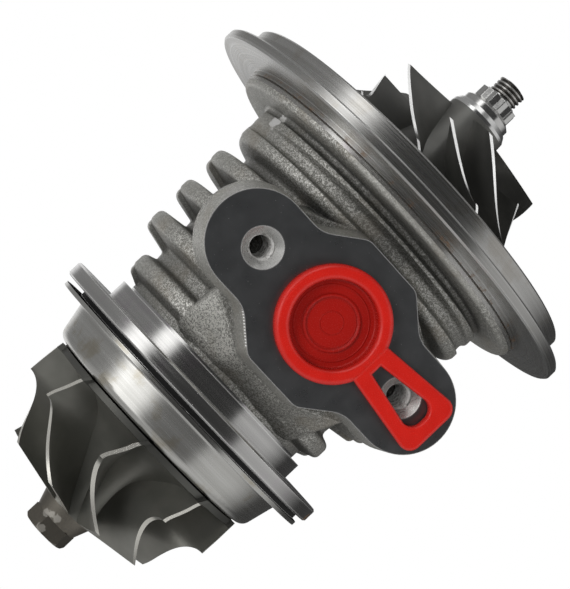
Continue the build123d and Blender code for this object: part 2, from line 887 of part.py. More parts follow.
def turbine_hub():
    hub_exit_x = turbine_back - turbine_length - turbine_exit_slope
    disc_front = turbine_back - turbine_disc_thickness
    sweep_line = EllipticalCenterArc(
        (hub_exit_x, turbine_disc_radius),
        disc_front - hub_exit_x,
        turbine_disc_radius - turbine_hub_radius,
        start_angle=0,
        arc_size=-90,
    )
    rest = Polyline(
        (hub_exit_x, turbine_hub_radius),
        (hub_exit_x, 0),
        (turbine_back, 0),
        (turbine_back, turbine_disc_radius),
        (disc_front, turbine_disc_radius),
    )
    hub = revolve(make_face([sweep_line] + rest.edges()), Axis.X)
    collar_end = hub_exit_x - turbine_collar_length
    nose_tip = collar_end - turbine_hex_length
    hub += turned(
        (hub_exit_x + 0.1, 0),
        (hub_exit_x + 0.1, turbine_hub_radius),
        (hub_exit_x, turbine_hub_radius),
        (collar_end, turbine_collar_radius),
        (collar_end, 0),
    )
    nose_face = Plane((collar_end, 0, 0), x_dir=(0, 1, 0), z_dir=(-1, 0, 0))
    hexagon = nose_face * RegularPolygon(turbine_hex_corner_radius, 6)
    rounding = turned(
        (collar_end, 0),
        (collar_end, turbine_hex_corner_radius + 1),
        (nose_tip + turbine_hex_chamfer + 1, turbine_hex_corner_radius + 1),
        (nose_tip, turbine_hex_corner_radius - turbine_hex_chamfer),
        (nose_tip, 0),
    )
    return hub + (extrude(hexagon, turbine_hex_length) & rounding)


def turbine_wheel():
    wheel = turbine_hub()
    wheel += bar(turbine_back - 0.1, boss_end, turbine_boss_radius)
    centre = turbine_ring_centre()
    groove_half = turbine_ring_width / 2 + ring_play
    groove_floor = turbine_boss_radius + turbine_bore_clearance - turbine_ring_depth - ring_play
    wheel -= ring(centre - groove_half, centre + groove_half, groove_floor, turbine_boss_radius + 1)
    blade = turbine_blade()
    pitch = 360 / turbine_blade_count
    blades = [about_shaft(blade, turbine_azimuth + index * pitch) for index in range(turbine_blade_count)]
    return wheel.fuse(*blades)


def wheel_exit_x():
    # Shroud edge of the compressor blades at the wheel's rim
    return wheel_back + wheel_disc_thickness + wheel_exit_width


def wheel_leading_x():
    return wheel_back + wheel_blade_length


def wheel_turn(x):
    # Blade angle about the shaft: an even wrap from the leading edge, which eases off beside the exit
    exit_x = wheel_exit_x()
    if x > exit_x:
        return wheel_wrap_rate * (wheel_leading_x() - x)
    return wheel_wrap_rate * (wheel_leading_x() - exit_x) + wheel_back_wrap_rate * (exit_x - x)


def compressor_blade(setback):
    exit_x = wheel_exit_x()
    leading_x = wheel_leading_x() - setback
    inlet_start = wheel_leading_x() - wheel_inlet_length
    slope = wheel_leading_slope if setback == 0 else 0
    inner = wheel_nose_radius - 1.5
    blank = blade_blank(
        wheel_back - 0.5,
        leading_x + slope + 1.5,
        wheel_turn,
        inner - 0.5,
        wheel_radius + 2,
        wheel_blade_root,
        wheel_blade_tip,
        10,
    )
    shroud = EllipticalCenterArc(
        (inlet_start, wheel_radius),
        inlet_start - exit_x,
        wheel_radius - wheel_inlet_radius,
        start_angle=180,
        arc_size=90,
    )
    front = leading_x + slope * 1.1
    rest = Polyline(
        (inlet_start, wheel_inlet_radius),
        (leading_x + 0.001, wheel_inlet_radius),
        (front, inner),
        (wheel_back + wheel_disc_thickness / 2, inner),
        (wheel_back + wheel_disc_thickness / 2, wheel_radius - wheel_disc_thickness / 2),
        (wheel_back + wheel_disc_thickness, wheel_radius),
        (exit_x, wheel_radius),
    )
    return blank & revolve(make_face([shroud] + rest.edges()), Axis.X)


def compressor_hub():
    nose_start = wheel_nose_x - wheel_nose_chamfer
    hub_start = wheel_leading_x() + wheel_leading_slope
    disc_front = wheel_back + wheel_disc_thickness
    sweep_line = EllipticalCenterArc(
        (hub_start, wheel_radius),
        hub_start - disc_front,
        wheel_radius - wheel_hub_radius,
        start_angle=180,
        arc_size=90,
    )
    rest = Polyline(
        (hub_start, wheel_hub_radius),
        (nose_start, wheel_hub_radius - 0.1),
        (wheel_nose_x, wheel_nose_radius),
        (wheel_nose_x, 0),
        (wheel_back, 0),
        (wheel_back, wheel_radius),
        (disc_front, wheel_radius),
    )
    return revolve(make_face([sweep_line] + rest.edges()), Axis.X)


def compressor_wheel():
    full = compressor_blade(0)
    splitter = compressor_blade(splitter_setback)
    pitch = 360 / wheel_blade_count
    blades = []
    for index in range(wheel_blade_count):
        blades.append(about_shaft(full, wheel_azimuth + index * pitch))
        blades.append(about_shaft(splitter, wheel_azimuth + (index + 0.5) * pitch))
    return compressor_hub().fuse(*blades) - sleeve_bore(wheel_back, wheel_nose_x)


def shaft_nut():
    flange_end = wheel_nose_x + nut_flange_thickness
    nut = turned(
        (wheel_nose_x, 0),
        (wheel_nose_x, nut_flange_radius),
        (flange_end, nut_flange_radius),
        (flange_end + nut_cone_height, nut_corner_radius),
        (flange_end + nut_cone_height, 0),
    )
    face = Plane((flange_end, 0, 0), x_dir=(0, 1, 0), z_dir=(1, 0, 0))
    points = RegularPolygon(nut_corner_radius, 6) + RegularPolygon(nut_corner_radius, 6, rotation=30)
    nut += extrude(face * points, nut_height)
    return nut - sleeve_bore(wheel_nose_x, nut_end)


def cap_tab():
    # Pull tab: two arms that spread from the lip to a cross bar, with a window between them
    root = (tab_root_width / 2, cap_lip_radius - 1.5)
    end = (tab_end_width / 2, tab_length)
    outer = Polygon((-root[0], root[1]), root, end, (-end[0], end[1]), align=None)
    outer = fillet(corners_at(outer, lambda x, y: y > tab_length - 0.1), tab_rounding)
    window_start = cap_lip_radius + 0.4
    window_end = tab_length - tab_bar
    root_half = tab_root_width / 2 - tab_arm
    end_half = tab_end_width / 2 - tab_arm
    window = Polygon(
        (-root_half, window_start),
        (root_half, window_start),
        (end_half, window_end),
        (-end_half, window_end),
        align=None,
    )
    window = fillet(window.vertices().group_by(Axis.Y)[-1], min(tab_rounding, end_half * 0.8))
    loop = extrude(outer - window, tab_thickness)
    rims = loop.edges().filter_by(Plane.XY)
    return fillet(rims, min(tab_edge_rounding, tab_thickness * 0.3))


def drain_cap():
    # Transport plug: rolled lip, shallow recess with plain rings, hollow skirt and pull tab. Drawn with the
    # lip's seat at Z = 0 and its outside towards +Z, then turned over onto the pad
    skirt_outer = drain_port_radius - cap_skirt_clearance
    floor_top = cap_lip_thickness - cap_recess_depth
    section = make_face(
        Polyline(
            (0, floor_top),
            (cap_recess_radius, floor_top),
            (cap_recess_radius, cap_lip_thickness),
            (cap_lip_radius, cap_lip_thickness),
            (cap_lip_radius, 0),
            (skirt_outer, 0),
            (skirt_outer, -cap_skirt_length),
            (skirt_outer - cap_wall, -cap_skirt_length),
            (skirt_outer - cap_wall - cap_wall_draft, floor_top - cap_floor),
            (0, floor_top - cap_floor),
            close=True,
        )
    )
    rolled = corners_at(section, lambda x, y: is_near(y, cap_lip_thickness))
    section = fillet(rolled, min(cap_rounding, cap_lip_thickness * 0.45))
    plug = revolve(Plane.XZ * section, Axis.Z)
    floor_ring = Circle(cap_ring_radius) - Circle(cap_ring_radius - cap_ring_width)
    plug += Pos(0, 0, floor_top) * extrude(floor_ring, cap_ring_height)
    plug += Pos(0, 0, tab_lift) * cap_tab()
    return Pos(drain_x, 0, -pad_drop) * Rot(180, 0, 0) * Rot(0, 0, 180) * plug


def main():
    stations = circlip_stations()
    nodes = {
        "centre_housing": centre_housing(),
        "back_plate": back_plate(),
        "back_plate_seal": back_plate_seal(),
        "back_plate_screws": plate_screws(),
        "heat_shield": heat_shield(),
        "turbine_seal_ring": turbine_seal_ring(),
        "compressor_seal_ring": compressor_seal_ring(),
        "turbine_bearing_circlips": circlip_pair(stations[:2]),
        "compressor_bearing_circlips": circlip_pair(stations[2:]),
        "turbine_journal_bearing": journal_bearing(turbine_bearing_x),
        "compressor_journal_bearing": journal_bearing(compressor_bearing_x),
        "thrust_bearing": thrust_bearing(),
        "thrust_bearing_pins": thrust_pins(),
        "oil_deflector": oil_deflector(),
        "rotor_shaft": shaft(),
        "thrust_washer": thrust_washer(),
        "thrust_collar": thrust_collar(),
        "oil_flinger": oil_flinger(),
        "turbine_wheel": turbine_wheel(),
        "compressor_wheel": compressor_wheel(),
        "shaft_nut": shaft_nut(),
        "drain_cap": drain_cap(),
    }
    os.makedirs("parts", exist_ok=True)
    for name, solids in nodes.items():
        shape = Compound(children=solids) if isinstance(solids, list) else solids
        export_step(shape, f"parts/{name}.step")


main()
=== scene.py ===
import math
import bpy
import bmesh
from mathutils import Matrix, Vector


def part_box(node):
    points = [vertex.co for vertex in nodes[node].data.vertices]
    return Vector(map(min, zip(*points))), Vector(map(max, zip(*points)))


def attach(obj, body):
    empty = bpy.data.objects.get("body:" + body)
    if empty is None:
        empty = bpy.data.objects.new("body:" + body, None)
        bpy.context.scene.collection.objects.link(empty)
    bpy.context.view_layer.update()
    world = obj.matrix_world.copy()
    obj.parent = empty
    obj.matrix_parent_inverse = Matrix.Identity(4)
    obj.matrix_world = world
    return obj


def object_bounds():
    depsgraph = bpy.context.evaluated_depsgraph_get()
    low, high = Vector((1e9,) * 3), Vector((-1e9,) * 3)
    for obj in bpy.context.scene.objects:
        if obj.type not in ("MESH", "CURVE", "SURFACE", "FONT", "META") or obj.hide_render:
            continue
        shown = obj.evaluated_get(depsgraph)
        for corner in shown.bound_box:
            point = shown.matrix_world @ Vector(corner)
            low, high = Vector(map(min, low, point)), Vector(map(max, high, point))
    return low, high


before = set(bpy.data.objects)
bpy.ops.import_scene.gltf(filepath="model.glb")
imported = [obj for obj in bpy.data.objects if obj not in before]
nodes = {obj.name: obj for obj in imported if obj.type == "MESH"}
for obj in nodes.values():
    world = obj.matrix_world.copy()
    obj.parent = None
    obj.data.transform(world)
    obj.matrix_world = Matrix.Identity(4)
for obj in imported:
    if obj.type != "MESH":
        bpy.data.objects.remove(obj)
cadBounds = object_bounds()
mm = 0.001


# Camera: the view of the photograph, from below the cartridge

cameraSettings = {
    "target": (-28.64, -1.37, 0.0),
    "azimuth": 3.63,
    "elevation": 12.46,
    "roll": 43.35,
    "distance": 349.9,
    "focalPixels": 1716.4,
    "imageHeight": 589,
    "sensor": 36.0,
    "clipStart": 0.01,
}


def makeCamera(s):
    azimuth, elevation, roll = (math.radians(s[k]) for k in ("azimuth", "elevation", "roll"))
    forward = Vector((math.sin(azimuth), math.sin(elevation), 1.0)).normalized()
    right = (Vector((1, 0, 0)) - forward * forward.x).normalized()
    up = right.cross(forward)
    imageRight = math.cos(roll) * right - math.sin(roll) * up
    imageUp = math.sin(roll) * right + math.cos(roll) * up
    data = bpy.data.cameras.new("mainCamera")
    data.sensor_fit = "VERTICAL"
    data.sensor_height = s["sensor"]
    data.lens = s["focalPixels"] * s["sensor"] / s["imageHeight"]
    data.clip_start = s["clipStart"]
    camera = bpy.data.objects.new("mainCamera", data)
    bpy.context.scene.collection.objects.link(camera)
    place = Matrix((imageRight, imageUp, -forward)).transposed().to_4x4()
    place.translation = (Vector(s["target"]) - forward * s["distance"]) * mm
    camera.matrix_world = place
    bpy.context.scene.camera = camera


makeCamera(cameraSettings)
bpy.context.scene.view_settings.view_transform = "Standard"
print("camera ready")


# Node helpers

def addNode(tree, kind, **settings):
    node = tree.nodes.new(kind)
    for name, value in settings.items():
        setattr(node, name, value)
    return node


def feed(tree, socket, value):
    if isinstance(value, bpy.types.NodeSocket):
        tree.links.new(value, socket)
    else:
        socket.default_value = value


def math2(tree, operation, a, b=0.0):
    node = addNode(tree, "ShaderNodeMath", operation=operation)
    feed(tree, node.inputs[0], a)
    feed(tree, node.inputs[1], b)
    return node.outputs[0]


def product(tree, result, *others):
    for other in others:
        result = math2(tree, "MULTIPLY", result, other)
    return result


def larger(tree, a, b):
    return math2(tree, "MAXIMUM", a, b)


def rest(tree, share):
    return math2(tree, "SUBTRACT", 1.0, share)


def blend(tree, share, a, b):
    return math2(tree, "ADD", product(tree, a, rest(tree, share)), product(tree, share, b))


def length2(tree, a, b):
    return math2(tree, "SQRT", math2(tree, "ADD", product(tree, a, a), product(tree, b, b)))


def distanceTo(tree, point, place):
    node = addNode(tree, "ShaderNodeVectorMath", operation="DISTANCE")
    feed(tree, node.inputs[0], point)
    feed(tree, node.inputs[1], place)
    return node.outputs["Value"]


def dotProduct(tree, a, b):
    node = addNode(tree, "ShaderNodeVectorMath", operation="DOT_PRODUCT")
    feed(tree, node.inputs[0], a)
    feed(tree, node.inputs[1], b)
    return node.outputs["Value"]


def splitVector(tree, vector):
    node = addNode(tree, "ShaderNodeSeparateXYZ")
    feed(tree, node.inputs[0], vector)
    return node.outputs


def ramp(tree, value, low, high, toLow=0.0, toHigh=1.0):
    node = addNode(tree, "ShaderNodeMapRange", interpolation_type="SMOOTHSTEP")
    for index, item in enumerate((value, low, high, toLow, toHigh)):
        feed(tree, node.inputs[index], item)
    return node.outputs[0]


def step(tree, value, edge, width):
    return ramp(tree, value, edge, edge + width)  # a negative width gives the other side of the edge


def mixColour(tree, share, a, b):
    node = addNode(tree, "ShaderNodeMix", data_type="RGBA")
    feed(tree, node.inputs["Factor"], share)
    feed(tree, node.inputs[6], a)
    feed(tree, node.inputs[7], b)
    return node.outputs[2]


def noise(tree, vector, scale, detail=3.0, rough=0.6, w=None):
    node = addNode(tree, "ShaderNodeTexNoise", noise_dimensions="3D" if w is None else "4D")
    feed(tree, node.inputs["Vector"], vector)
    if w is not None:
        feed(tree, node.inputs["W"], w)
    node.inputs["Scale"].default_value = scale
    node.inputs["Detail"].default_value = detail
    node.inputs["Roughness"].default_value = rough
    return node.outputs[0]


def bump(tree, height, distance, strength, normal=None):
    node = addNode(tree, "ShaderNodeBump")
    node.inputs["Strength"].default_value = strength
    node.inputs["Distance"].default_value = distance
    feed(tree, node.inputs["Height"], height)
    if normal is not None:
        feed(tree, node.inputs["Normal"], normal)
    return node.outputs[0]


def newGroup(name, inputs, outputs):
    tree = bpy.data.node_groups.new(name, "ShaderNodeTree")
    for label, kind in inputs:
        tree.interface.new_socket(label, in_out="INPUT", socket_type=kind)
    for label, kind in outputs:
        tree.interface.new_socket(label, in_out="OUTPUT", socket_type=kind)
    return tree, addNode(tree, "NodeGroupOutput")


def useGroup(tree, group, **values):
    node = addNode(tree, "ShaderNodeGroup", node_tree=group)
    for label, value in values.items():
        feed(tree, node.inputs[label], value)
    return node


# Shared effects: position in millimetres about the shaft, turning marks, casting grain, rounded edges and a
# mask of the edges

wideSpan = (0.3, 0.7)  # a noise's values, nearly from end to end
midSpan = (0.35, 0.65)

markSettings = {
    "fine": {"pitch": 5.5, "drift": 1.2},
    "broad": {"pitch": 0.9, "drift": 0.5},
    "patch": {"scale": 0.16, "detail": 4.0},
}
grainSettings = {
    "coarse": {"scale": 1.9, "rough": 0.5},
    "fine": {"scale": 4.6, "rough": 0.6},
    "fineShare": 0.64,
    "swell": {"scale": 0.35, "rough": 0.5},
    "stain": {"scale": 0.11, "detail": 4.0},
}
roundedEdgeSettings = {"samples": 6, "starts": 0.995, "full": 0.93}


def makeShaftPosition():
    tree, result = newGroup(
        "shaftPosition", [],
        [("point", "NodeSocketVector"), ("x", "NodeSocketFloat"), ("y", "NodeSocketFloat"),
         ("z", "NodeSocketFloat"), ("radius", "NodeSocketFloat"), ("angle", "NodeSocketFloat")],
    )
    scaled = addNode(tree, "ShaderNodeVectorMath", operation="SCALE")
    feed(tree, scaled.inputs[0], addNode(tree, "ShaderNodeTexCoord").outputs["Object"])
    scaled.inputs["Scale"].default_value = 1 / mm
    x, y, z = splitVector(tree, scaled.outputs[0])
    feed(tree, result.inputs["point"], scaled.outputs[0])
    feed(tree, result.inputs["x"], x)
    feed(tree, result.inputs["y"], y)
    feed(tree, result.inputs["z"], z)
    feed(tree, result.inputs["radius"], length2(tree, y, z))
    feed(tree, result.inputs["angle"], math2(tree, "ARCTAN2", z, y))
    return tree


def makeTurningMarks(position, s):
    tree, result = newGroup(
        "turningMarks", [],
        [("fine", "NodeSocketFloat"), ("broad", "NodeSocketFloat"), ("patch", "NodeSocketFloat")],
    )
    at = useGroup(tree, position)
    cosine = math2(tree, "COSINE", at.outputs["angle"])
    sine = math2(tree, "SINE", at.outputs["angle"])
    for label in ("fine", "broad"):
        pitch, drift = s[label]["pitch"], s[label]["drift"]
        vector = addNode(tree, "ShaderNodeCombineXYZ")
        feed(tree, vector.inputs[0], product(tree, at.outputs["x"], pitch))
        feed(tree, vector.inputs[1], product(tree, at.outputs["radius"], pitch))
        feed(tree, vector.inputs[2], product(tree, cosine, drift))
        wander = product(tree, sine, drift)
        feed(tree, result.inputs[label], noise(tree, vector.outputs[0], scale=1.0, w=wander))
    feed(tree, result.inputs["patch"], noise(tree, at.outputs["point"], **s["patch"]))
    return tree


def makeCastGrain(position, s):
    tree, result = newGroup(
        "castGrain", [],
        [("grain", "NodeSocketFloat"), ("swell", "NodeSocketFloat"), ("stain", "NodeSocketFloat")],
    )
    point = useGroup(tree, position).outputs["point"]
    coarse = noise(tree, point, detail=2.0, **s["coarse"])
    fine = noise(tree, point, detail=2.0, **s["fine"])
    fine = product(tree, fine, s["fineShare"])
    coarse = product(tree, coarse, 1 - s["fineShare"])
    feed(tree, result.inputs["grain"], math2(tree, "ADD", fine, coarse))
    feed(tree, result.inputs["swell"], noise(tree, point, detail=2.0, **s["swell"]))
    feed(tree, result.inputs["stain"], noise(tree, point, **s["stain"]))
    return tree


def makeRoundedEdge(s):
    tree, result = newGroup(
        "roundedEdge", [("radius", "NodeSocketFloat")],
        [("edge", "NodeSocketFloat"), ("normal", "NodeSocketVector")],
    )
    rounded = addNode(tree, "ShaderNodeBevel", samples=s["samples"])
    feed(tree, rounded.inputs["Radius"], addNode(tree, "NodeGroupInput").outputs["radius"])
    flat = addNode(tree, "ShaderNodeNewGeometry").outputs["True Normal"]
    alike = dotProduct(tree, rounded.outputs[0], flat)
    feed(tree, result.inputs["edge"], ramp(tree, alike, s["starts"], s["full"]))
    feed(tree, result.inputs["normal"], rounded.outputs[0])
    return tree


shaftPosition = makeShaftPosition()
turningMarks = makeTurningMarks(shaftPosition, markSettings)
castGrain = makeCastGrain(shaftPosition, grainSettings)
roundedEdge = makeRoundedEdge(roundedEdgeSettings)
print("shared effects ready")


# Materials

def startMaterial(name):
    material = bpy.data.materials.new(name)
    material.use_nodes = True
    tree = material.node_tree
    tree.nodes.clear()
    return material, tree, addNode(tree, "ShaderNodeOutputMaterial")


def metal(tree, colour, roughness, normal=None, metallic=1.0, anisotropy=0.0):
    shader = addNode(tree, "ShaderNodeBsdfPrincipled")
    shader.inputs["Metallic"].default_value = metallic
    feed(tree, shader.inputs["Base Color"], colour)
    feed(tree, shader.inputs["Roughness"], roughness)
    if normal is not None:
        feed(tree, shader.inputs["Normal"], normal)
    if anisotropy:
        shader.inputs["Anisotropic"].default_value = anisotropy
        # a quarter turn: across the marks, which run round the shaft
        shader.inputs["Anisotropic Rotation"].default_value = 0.25
        tangent = addNode(tree, "ShaderNodeTangent", direction_type="RADIAL", axis="X")
        feed(tree, shader.inputs["Tangent"], tangent.outputs[0])
    return shader.outputs[0]


def plainMetal(tree, s):
    return metal(tree, s["colour"], s["rough"], metallic=s["metallic"])


def mixShaders(tree, share, a, b):
    node = addNode(tree, "ShaderNodeMixShader")
    feed(tree, node.inputs[0], share)
    feed(tree, node.inputs[1], a)
    feed(tree, node.inputs[2], b)
    return node.outputs[0]


# Turned steel, which may have bright edges (partly wear, partly painted highlight), a band of rust, or
# painted shade on its face hidden in the gap

plateSteel = {
    "dark": (0.43, 0.425, 0.41, 1), "light": (0.56, 0.555, 0.54, 1),
    "tint": (0.34, 0.30, 0.24, 1), "tintShare": 0.30,
    "roughLow": 0.24, "roughHigh": 0.33, "markDepth": 0.005, "markStrength": 0.35, "anisotropy": 0.35,
    # edges painted bright: partly wear, partly painted highlight
    "edge": {
        "colour": (0.86, 0.86, 0.85, 1), "rough": 0.25, "metallic": 1.0, "radius": 0.22, "share": 0.85,
    },
    "rust": {
        "colour": (0.17, 0.105, 0.06, 1), "from": -4.5, "fromFade": 0.3, "to": -2.3, "toFade": 0.2,
        "reach": 39.2, "reachFade": 0.4, "scale": 0.35, "spots": (0.50, 0.63), "share": 0.7,
        "rough": 0.55, "metallic": 0.4,
    },
}
shieldSteel = {
    "dark": (0.52, 0.515, 0.49, 1), "light": (0.64, 0.635, 0.61, 1),
    "tint": (0.40, 0.355, 0.26, 1), "tintShare": 0.6,
    "roughLow": 0.21, "roughHigh": 0.28, "markDepth": 0.003, "markStrength": 0.3, "anisotropy": 0.2,
    # edges painted bright: partly wear, partly painted highlight
    "edge": {
        "colour": (0.84, 0.84, 0.83, 1), "rough": 0.25, "metallic": 1.0, "radius": 0.2, "share": 0.7,
    },
    # painted shade: the shield's faces turned towards the housing, inside the gap, are coloured near-black
    "gapShade": {
        "colour": (0.012, 0.012, 0.012, 1), "rough": 0.6, "metallic": 0.0,
        "from": -58.95, "fade": 0.05, "facing": (0.7, 0.9),
    },
}
shaftSteel = {
    "dark": (0.50, 0.50, 0.49, 1), "light": (0.62, 0.62, 0.61, 1),
    "tint": (0.45, 0.43, 0.40, 1), "tintShare": 0.2,
    "roughLow": 0.14, "roughHigh": 0.24, "markDepth": 0.004, "markStrength": 0.4, "anisotropy": 0.3,
}
bronzeMetal = {
    "dark": (0.52, 0.35, 0.15, 1), "light": (0.68, 0.48, 0.22, 1),
    "tint": (0.38, 0.26, 0.12, 1), "tintShare": 0.4,
    "roughLow": 0.22, "roughHigh": 0.34, "markDepth": 0.006, "markStrength": 0.4, "anisotropy": 0.3,
}
springSteel = {
    "dark": (0.16, 0.16, 0.165, 1), "light": (0.24, 0.24, 0.25, 1),
    "tint": (0.12, 0.11, 0.10, 1), "tintShare": 0.3,
    "roughLow": 0.30, "roughHigh": 0.42, "markDepth": 0.006, "markStrength": 0.3, "anisotropy": 0.0,
}
tintSpan = (0.52, 0.70)


def turnedSteel(tree, s):
    marks = useGroup(tree, turningMarks)
    tone = mixColour(tree, ramp(tree, marks.outputs["broad"], *wideSpan), s["dark"], s["light"])
    tinted = ramp(tree, marks.outputs["patch"], *tintSpan, 0.0, s["tintShare"])
    tone = mixColour(tree, tinted, tone, s["tint"])
    rough = ramp(tree, marks.outputs["fine"], *wideSpan, s["roughLow"], s["roughHigh"])
    normal = bump(tree, marks.outputs["fine"], s["markDepth"] * mm, s["markStrength"])
    return metal(tree, tone, rough, normal, anisotropy=s["anisotropy"])


# a bright colour along the edges: partly wear, partly painted highlight
def wearAndHighlightEdges(tree, surface, s):
    edge = useGroup(tree, roundedEdge, radius=s["radius"] * mm).outputs["edge"]
    return mixShaders(tree, product(tree, edge, s["share"]), surface, plainMetal(tree, s))


def rustBand(tree, surface, s):
    at = useGroup(tree, shaftPosition)
    spots = noise(tree, at.outputs["point"], s["scale"], detail=5.0, rough=0.7)
    share = product(
        tree,
        step(tree, at.outputs["x"], s["from"], s["fromFade"]),
        step(tree, at.outputs["x"], s["to"], -s["toFade"]),
        step(tree, at.outputs["radius"], s["reach"], -s["reachFade"]),
        ramp(tree, spots, *s["spots"], 0.0, s["share"]),
    )
    return mixShaders(tree, share, surface, plainMetal(tree, s))


# painted shade: faces turned towards the housing, past the shield's rim, are coloured near-black
def paintedShadeInGap(tree, surface, s):
    facing = splitVector(tree, addNode(tree, "ShaderNodeTexCoord").outputs["Normal"])[0]
    x = useGroup(tree, shaftPosition).outputs["x"]
    hidden = product(tree, ramp(tree, facing, *s["facing"]), step(tree, x, s["from"], s["fade"]))
    return mixShaders(tree, hidden, surface, plainMetal(tree, s))


def makeTurned(name, s):
    material, tree, out = startMaterial(name)
    surface = turnedSteel(tree, s)
    if "edge" in s:
        surface = wearAndHighlightEdges(tree, surface, s["edge"])
    if "rust" in s:
        surface = rustBand(tree, surface, s["rust"])
    if "gapShade" in s:
        surface = paintedShadeInGap(tree, surface, s["gapShade"])
    feed(tree, out.inputs["Surface"], surface)
    return material


# Centre housing: one casting with a turned neck and rim, a ground pad, and tapped holes

housingSettings = {
    "cast": {
        "valley": (0.24, 0.236, 0.216, 1), "crest": (0.84, 0.83, 0.785, 1), "crestSpan": (0.43, 0.64),
        "stain": (0.36, 0.32, 0.26, 1), "stainSpan": (0.50, 0.72), "stainShare": 0.45,
        # painted shade in the casting's hollows and creases, from ambient occlusion
        "hollow": (0.035, 0.035, 0.032, 1), "hollowReach": 9.0, "hollowSpan": (0.20, 0.95),
        "hollowShare": 0.7, "hollowSamples": 6,
        "roughLow": 0.34, "roughHigh": 0.58, "metallic": 0.76, "edgeRadius": 0.5,
        "grainDepth": 0.17, "grainStrength": 0.9, "swellDepth": 0.45, "swellStrength": 0.5,
        "calmGrainAndShade": (  # a calmer grain on the pad's side; on the half away from the drain, a calmer grain with a darker tone as painted shade
            {"z": (-32.5, -34.0), "share": 0.6, "shade": 0.42},
            {"z": (-20.0, -6.0), "share": 0.6, "shade": 0.30},
        ),
        "web": {  # the web between the drain tower and the neck, painted paler as painted light
            "place": (-44.5, -12.5, -29.0), "reach": (10.5, 5.5), "z": (-32.0, -30.5), "crest": 0.13,
        },
    },
    "pad": {
        "dark": (0.175, 0.180, 0.184, 1), "light": (0.225, 0.230, 0.236, 1), "cloud": 0.25,
        "speck": (0.70, 0.69, 0.67, 1), "speckScale": 2.6, "speckSpan": (0.71, 0.75), "speckShare": 0.7,
        "roughLow": 0.27, "roughHigh": 0.35, "metallic": 0.93,
        "grainScale": 7.0, "grainDepth": 0.01, "grainStrength": 0.5,
    },
    "turned": {
        "dark": (0.50, 0.495, 0.485, 1), "light": (0.60, 0.595, 0.58, 1),
        "tint": (0.50, 0.43, 0.49, 1), "tintShare": 0.35,
        "roughLow": 0.16, "roughHigh": 0.25, "markDepth": 0.005, "markStrength": 0.4, "anisotropy": 0.45,
    },
    "neck": {"end": -50.0, "turbineFace": -57.35, "fade": 0.05},
    "rim": {"from": -4.35, "fromFade": 0.08, "radius": 37.6, "radiusFade": 0.1, "share": 0.75},
    "faces": {"pad": -39.95, "inlet": 34.95, "fade": 0.03, "band": (0.5, 0.3)},
    "holes": {
        "x": -28.4, "boltY": 19.0, "boltRadius": 4.1, "boltFade": 0.12,
        "boltBottom": -26.0, "bottomFade": 0.1, "inletRadius": 6.0, "inletFade": 0.2, "inletBottom": 20.0,
        "colour": (0.48, 0.475, 0.46, 1), "streak": 2.4, "rough": (0.26, 0.40), "metallic": 0.85,
    },
    # bright edges near the faces and on the neck: partly wear, partly painted highlight; the chip uses the
    # same colour
    "wearAndEdgeHighlight": {"colour": (0.74, 0.735, 0.72, 1), "rough": 0.24, "metallic": 0.7, "radius": 0.32, "share": 0.9},
    "chip": {"place": (-7.3, -30.0, -9.7), "reach": 2.0},
    "stain": {
        "place": (-56.8, 31.2, -15.0), "reach": 1.5, "share": 0.7,
        "colour": plateSteel["rust"]["colour"], "rough": 0.5, "metallic": 0.5,
    },
    "ticks": {  # a row of small bright marks along the pad's edge
        "colour": (0.88, 0.87, 0.85, 1), "rough": 0.4, "metallic": 0.1, "pitch": 0.45, "wave": (-0.1, 0.4),
        "x": -36.0, "xFade": 0.3, "from": -13.4, "to": -7.6, "fade": 0.2, "height": (1.1, 0.9),
    },
}
spotShape = {"scale": 0.9, "uneven": 1.6, "edge": (1.8, 1.6)}  # the last two are shares of a spot's reach


def spotMask(tree, point, place, reach):
    uneven = product(tree, noise(tree, point, spotShape["scale"]), reach * spotShape["uneven"])
    ragged = math2(tree, "ADD", distanceTo(tree, point, place), uneven)
    return ramp(tree, ragged, *(reach * share for share in spotShape["edge"]))


def castSurface(tree, s):
    grain = useGroup(tree, castGrain)
    edge = useGroup(tree, roundedEdge, radius=s["edgeRadius"] * mm)
    at = useGroup(tree, shaftPosition)
    z = at.outputs["z"]
    # painted light: the web gets a paler tone and none of the painted hollow shade
    web = s["web"]
    nearPaintedLightWeb = ramp(tree, distanceTo(tree, at.outputs["point"], web["place"]), *web["reach"])
    inPaintedLightWeb = product(tree, nearPaintedLightWeb, ramp(tree, z, *web["z"]))
    low, high = s["crestSpan"]
    high = math2(tree, "SUBTRACT", high, product(tree, inPaintedLightWeb, web["crest"]))
    shade = ramp(tree, grain.outputs["grain"], low, high)
    # on the half away from the drain this also darkens the tone, as painted shade
    for part in s["calmGrainAndShade"]:
        shade = blend(tree, ramp(tree, z, *part["z"], 0.0, part["share"]), shade, part["shade"])
    tone = mixColour(tree, shade, s["valley"], s["crest"])
    stained = ramp(tree, grain.outputs["stain"], *s["stainSpan"], 0.0, s["stainShare"])
    tone = mixColour(tree, stained, tone, s["stain"])
    # painted shade: ambient occlusion darkens the casting in its hollows and creases, except on the web
    hollow = addNode(tree, "ShaderNodeAmbientOcclusion", samples=s["hollowSamples"], only_local=True)
    hollow.inputs["Distance"].default_value = s["hollowReach"] * mm
    shadeAmount = ramp(tree, hollow.outputs["AO"], *s["hollowSpan"], s["hollowShare"], 0.0)
    tone = mixColour(tree, product(tree, shadeAmount, rest(tree, inPaintedLightWeb)), tone, s["hollow"])
    rough = ramp(tree, grain.outputs["grain"], *midSpan, s["roughHigh"], s["roughLow"])
    rounded = edge.outputs["normal"]
    swollen = bump(tree, grain.outputs["swell"], s["swellDepth"] * mm, s["swellStrength"], rounded)
    normal = bump(tree, grain.outputs["grain"], s["grainDepth"] * mm, s["grainStrength"], swollen)
    return metal(tree, tone, rough, normal, metallic=s["metallic"])


